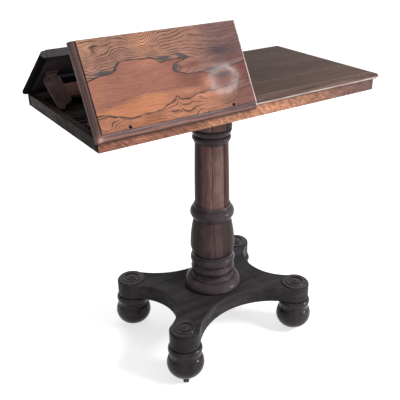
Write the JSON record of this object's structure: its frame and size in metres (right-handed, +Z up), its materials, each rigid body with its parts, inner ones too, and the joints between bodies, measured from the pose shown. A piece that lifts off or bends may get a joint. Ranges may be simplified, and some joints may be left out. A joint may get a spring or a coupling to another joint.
{
  "type": "reading stand",
  "caption": "Turned-column reading table on a hollow-sided platform with castors; flat top at the right, strutted slopes back to back at the left",
  "frame": {"origin": "on the floor under the middle of the top", "axes": "X along the table with the slopes at -X, Y from the near long side to the far one, Z up"},
  "size_m": [0.784, 0.412, 0.906],
  "materials": {
    "top_veneer": "figured rosewood veneer, french polished",
    "apron_wood": "rosewood veneer, polished",
    "base_wood": "dark rosewood, waxed",
    "column_wood": "dark turned rosewood, waxed",
    "secondary_wood": "stained mahogany, dull",
    "hinge_brass": "aged brass",
    "castor_brass": "tarnished cast brass",
    "screw_steel": "aged steel"
  },
  "bodies": {
    "table": {"platform": "base_wood", "column": "column_wood", "bearer": "secondary_wood", "apron_front": "apron_wood", "apron_rear": "apron_wood", "apron_left": "apron_wood", "apron_right": "apron_wood", "middle_rail": "secondary_wood", "cross_rail": "secondary_wood", "well_floor": "secondary_wood", "fixed_top": "top_veneer", "table_hinge_leaves": "hinge_brass", "table_hinge_pins": "screw_steel", "table_hinge_screws": "screw_steel", "castor_plates": "castor_brass", "foot_front_left": "base_wood", "foot_front_right": "base_wood", "foot_rear_left": "base_wood", "foot_rear_right": "base_wood", "roundel_front_left": "base_wood", "roundel_front_right": "base_wood", "roundel_rear_left": "base_wood", "roundel_rear_right": "base_wood"},
    "front_slope": {"front_slope": "top_veneer", "front_slope_hinge_leaves": "hinge_brass", "front_slope_hinge_screws": "screw_steel", "front_strut_hinge_leaves": "hinge_brass", "front_strut_hinge_screws": "screw_steel", "front_strut_hinge_pins": "screw_steel"},
    "front_strut": {"front_strut_left_leg": "secondary_wood", "front_strut_right_leg": "secondary_wood", "front_strut_rail": "secondary_wood", "front_strut_leaves": "hinge_brass", "front_strut_leaf_screws": "screw_steel"},
    "rear_slope": {"rear_slope": "top_veneer", "rear_slope_hinge_leaves": "hinge_brass", "rear_slope_hinge_screws": "screw_steel", "rear_strut_hinge_leaves": "hinge_brass", "rear_strut_hinge_screws": "screw_steel", "rear_strut_hinge_pins": "screw_steel"},
    "rear_strut": {"rear_strut_left_leg": "secondary_wood", "rear_strut_right_leg": "secondary_wood", "rear_strut_rail": "secondary_wood", "rear_strut_leaves": "hinge_brass", "rear_strut_leaf_screws": "screw_steel"},
    "castor_front_left": {"castor_horn_front_left": "castor_brass", "castor_axle_front_left": "castor_brass"},
    "wheel_front_left": {"castor_wheel_front_left": "castor_brass"},
    "castor_front_right": {"castor_horn_front_right": "castor_brass", "castor_axle_front_right": "castor_brass"},
    "wheel_front_right": {"castor_wheel_front_right": "castor_brass"},
    "castor_rear_left": {"castor_horn_rear_left": "castor_brass", "castor_axle_rear_left": "castor_brass"},
    "wheel_rear_left": {"castor_wheel_rear_left": "castor_brass"},
    "castor_rear_right": {"castor_horn_rear_right": "castor_brass", "castor_axle_rear_right": "castor_brass"},
    "wheel_rear_right": {"castor_wheel_rear_right": "castor_brass"}
  },
  "joints": [
    {"name": "front_slope_hinge", "type": "hinge", "parent": "table", "child": "front_slope", "pos_m": [0, -0.1915, 0.729], "axis": [1, 0, 0], "range_deg": [-62, 0]},
    {"name": "front_strut_hinge", "type": "hinge", "parent": "front_slope", "child": "front_strut", "pos_m": [-0.19325, -0.15471, 0.80458], "axis": [-1, 0, 0], "range_deg": [-112.91, 0]},
    {"name": "rear_slope_hinge", "type": "hinge", "parent": "table", "child": "rear_slope", "pos_m": [0, 0.1915, 0.729], "axis": [-1, 0, 0], "range_deg": [-37, 25]},
    {"name": "rear_strut_hinge", "type": "hinge", "parent": "rear_slope", "child": "rear_strut", "pos_m": [-0.19325, 0.12622, 0.78195], "axis": [1, 0, 0], "range_deg": [-67.46, 45.65]},
    {"name": "castor_swivel_front_left", "type": "hinge", "parent": "table", "child": "castor_front_left", "pos_m": [-0.1745, -0.144, 0.0398], "axis": [0, 0, 1], "continuous": true},
    {"name": "wheel_spin_front_left", "type": "hinge", "parent": "castor_front_left", "child": "wheel_front_left", "pos_m": [-0.18454, -0.16071, 0.013], "axis": [0.8572, -0.515, 0], "continuous": true},
    {"name": "castor_swivel_front_right", "type": "hinge", "parent": "table", "child": "castor_front_right", "pos_m": [0.1985, -0.144, 0.0398], "axis": [0, 0, 1], "continuous": true},
    {"name": "wheel_spin_front_right", "type": "hinge", "parent": "castor_front_right", "child": "wheel_front_right", "pos_m": [0.21572, -0.13484, 0.013], "axis": [-0.4695, 0.8829, 0], "continuous": true},
    {"name": "castor_swivel_rear_left", "type": "hinge", "parent": "table", "child": "castor_rear_left", "pos_m": [-0.1745, 0.144, 0.0398], "axis": [0, 0, 1], "continuous": true},
    {"name": "wheel_spin_rear_left", "type": "hinge", "parent": "castor_rear_left", "child": "wheel_rear_left", "pos_m": [-0.16978, 0.16292, 0.013], "axis": [-0.9703, 0.2419, 0], "continuous": true},
    {"name": "castor_swivel_rear_right", "type": "hinge", "parent": "table", "child": "castor_rear_right", "pos_m": [0.1985, 0.144, 0.0398], "axis": [0, 0, 1], "continuous": true},
    {"name": "wheel_spin_rear_right", "type": "hinge", "parent": "castor_rear_right", "child": "wheel_rear_right", "pos_m": [0.21129, 0.15872, 0.013], "axis": [-0.7547, 0.6561, 0], "continuous": true}
  ],
  "couplings": [
    {"joint": "front_strut_hinge", "follows": "front_slope_hinge", "ratio": 1.8179},
    {"joint": "rear_strut_hinge", "follows": "rear_slope_hinge", "ratio": 1.8179}
  ]
}
